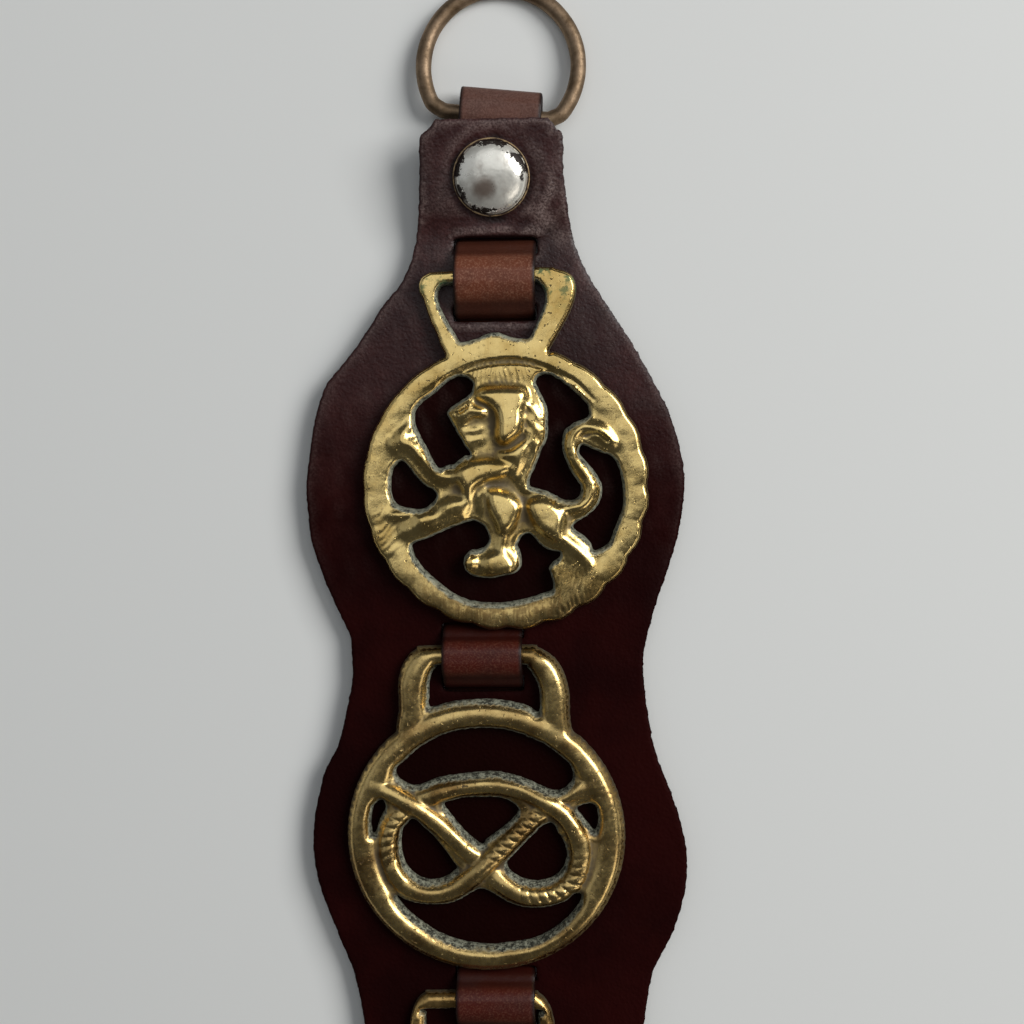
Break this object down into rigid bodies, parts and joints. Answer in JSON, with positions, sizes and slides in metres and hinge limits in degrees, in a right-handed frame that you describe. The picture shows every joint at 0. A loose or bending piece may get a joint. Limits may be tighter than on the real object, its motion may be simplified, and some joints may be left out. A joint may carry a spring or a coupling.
{
  "type": "horse brass martingale",
  "caption": "Pierced cast horse brasses held by a narrow keeper strap to a scalloped leather backing, with a D-ring and domed cap rivets.",
  "frame": {"origin": "under the middle of the whole, on the surface that the back of the keeper strap lies on", "axes": "+Y up the strap towards the D-ring, +Z out of the decorated front, +X to the right when seen from the front"},
  "size_m": [0.086, 0.3282, 0.0128],
  "materials": {
    "backing_leather": "dark oxblood harness leather, fine grain, waxed sheen near the top, rough cut edge",
    "strap_leather": "reddish chestnut strap, bevelled edges, speckled grain",
    "lion_cast": "polished high spots, brown patina in the recesses, pale polish residue on the walls, small verdigris spots",
    "knot_cast": "darker bronze-brown gold, thin bright inner edges, pale residue on the walls",
    "wheel_cast": "brownish gold like the knot, plainer",
    "ring_wire": "antique brass wire, dull brown with worn bright spots",
    "cap_nickel": "nickel-plated domed cap, worn to dark patches near the rim"
  },
  "bodies": {
    "root": {"backing_leather": "backing_leather", "keeper_strap": "strap_leather", "d_ring": "ring_wire", "cap_rivet": "cap_nickel", "tail_rivet": "cap_nickel", "lion_brass": "lion_cast", "knot_brass": "knot_cast", "wheel_brass": "wheel_cast"}
  },
  "joints": []
}
